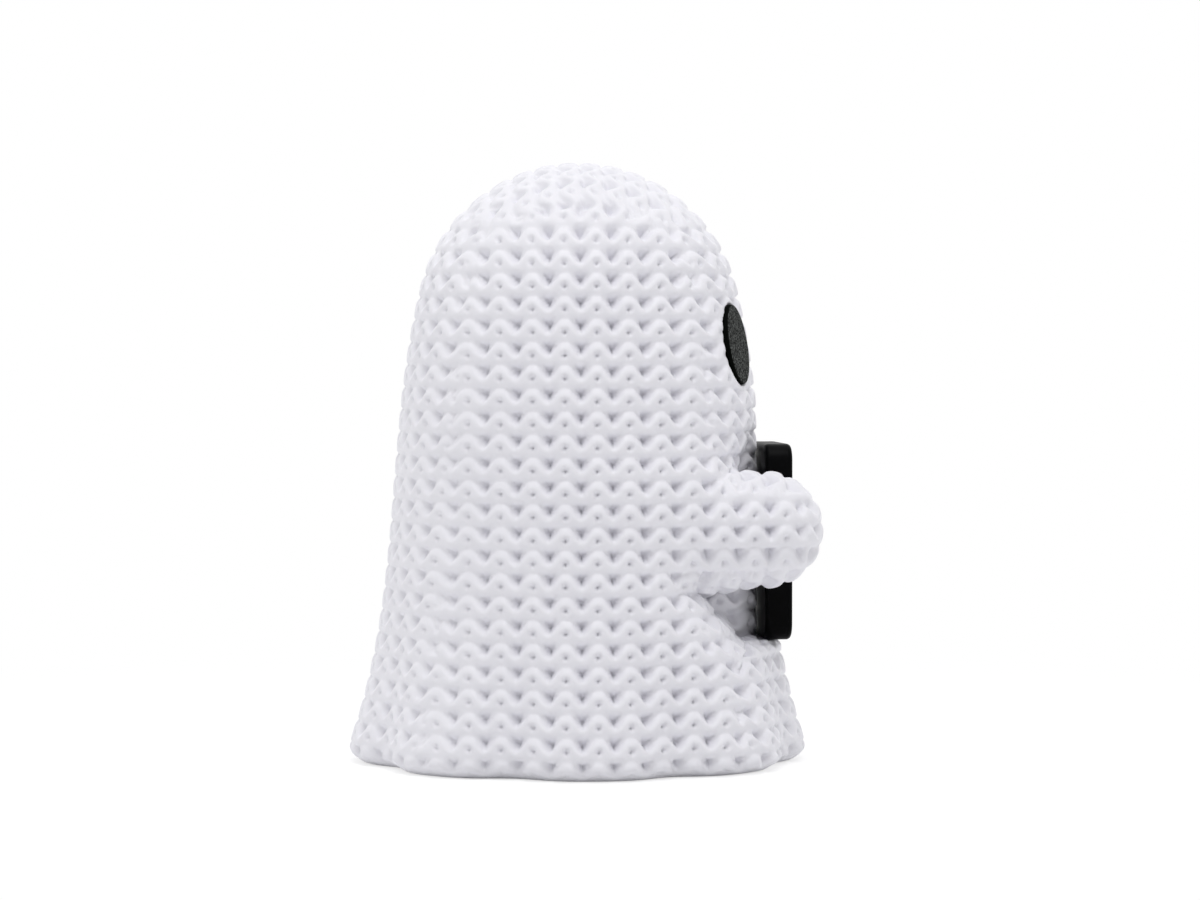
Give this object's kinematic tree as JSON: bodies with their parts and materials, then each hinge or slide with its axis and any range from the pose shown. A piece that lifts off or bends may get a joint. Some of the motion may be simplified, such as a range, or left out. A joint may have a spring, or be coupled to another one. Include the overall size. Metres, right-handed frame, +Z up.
{
  "type": "ghost ornament",
  "caption": "Knit-look ghost table ornament with a rounded head, a folded hem, oval inset eyes and stub arms that hold a blank plaque, which lifts out.",
  "frame": {"origin": "on the table at the body's axis, the middle of the flat base", "axes": "+Z up, the ghost faces -Y, +X to the ghost's left"},
  "size_m": [0.076, 0.0774, 0.0996],
  "materials": {
    "white_print": "matte white print with a knit relief",
    "eye_black": "matte black with a fine grain",
    "plaque_black": "satin black"
  },
  "bodies": {
    "ghost": {"ghost_body": "white_print", "right_eye": "eye_black", "left_eye": "eye_black"},
    "plaque": {"plaque": "plaque_black"}
  },
  "joints": [
    {"name": "plaque_lift", "type": "slide", "parent": "ghost", "child": "plaque", "axis": [0, 0, 1], "range_m": [0, 0.036]}
  ]
}
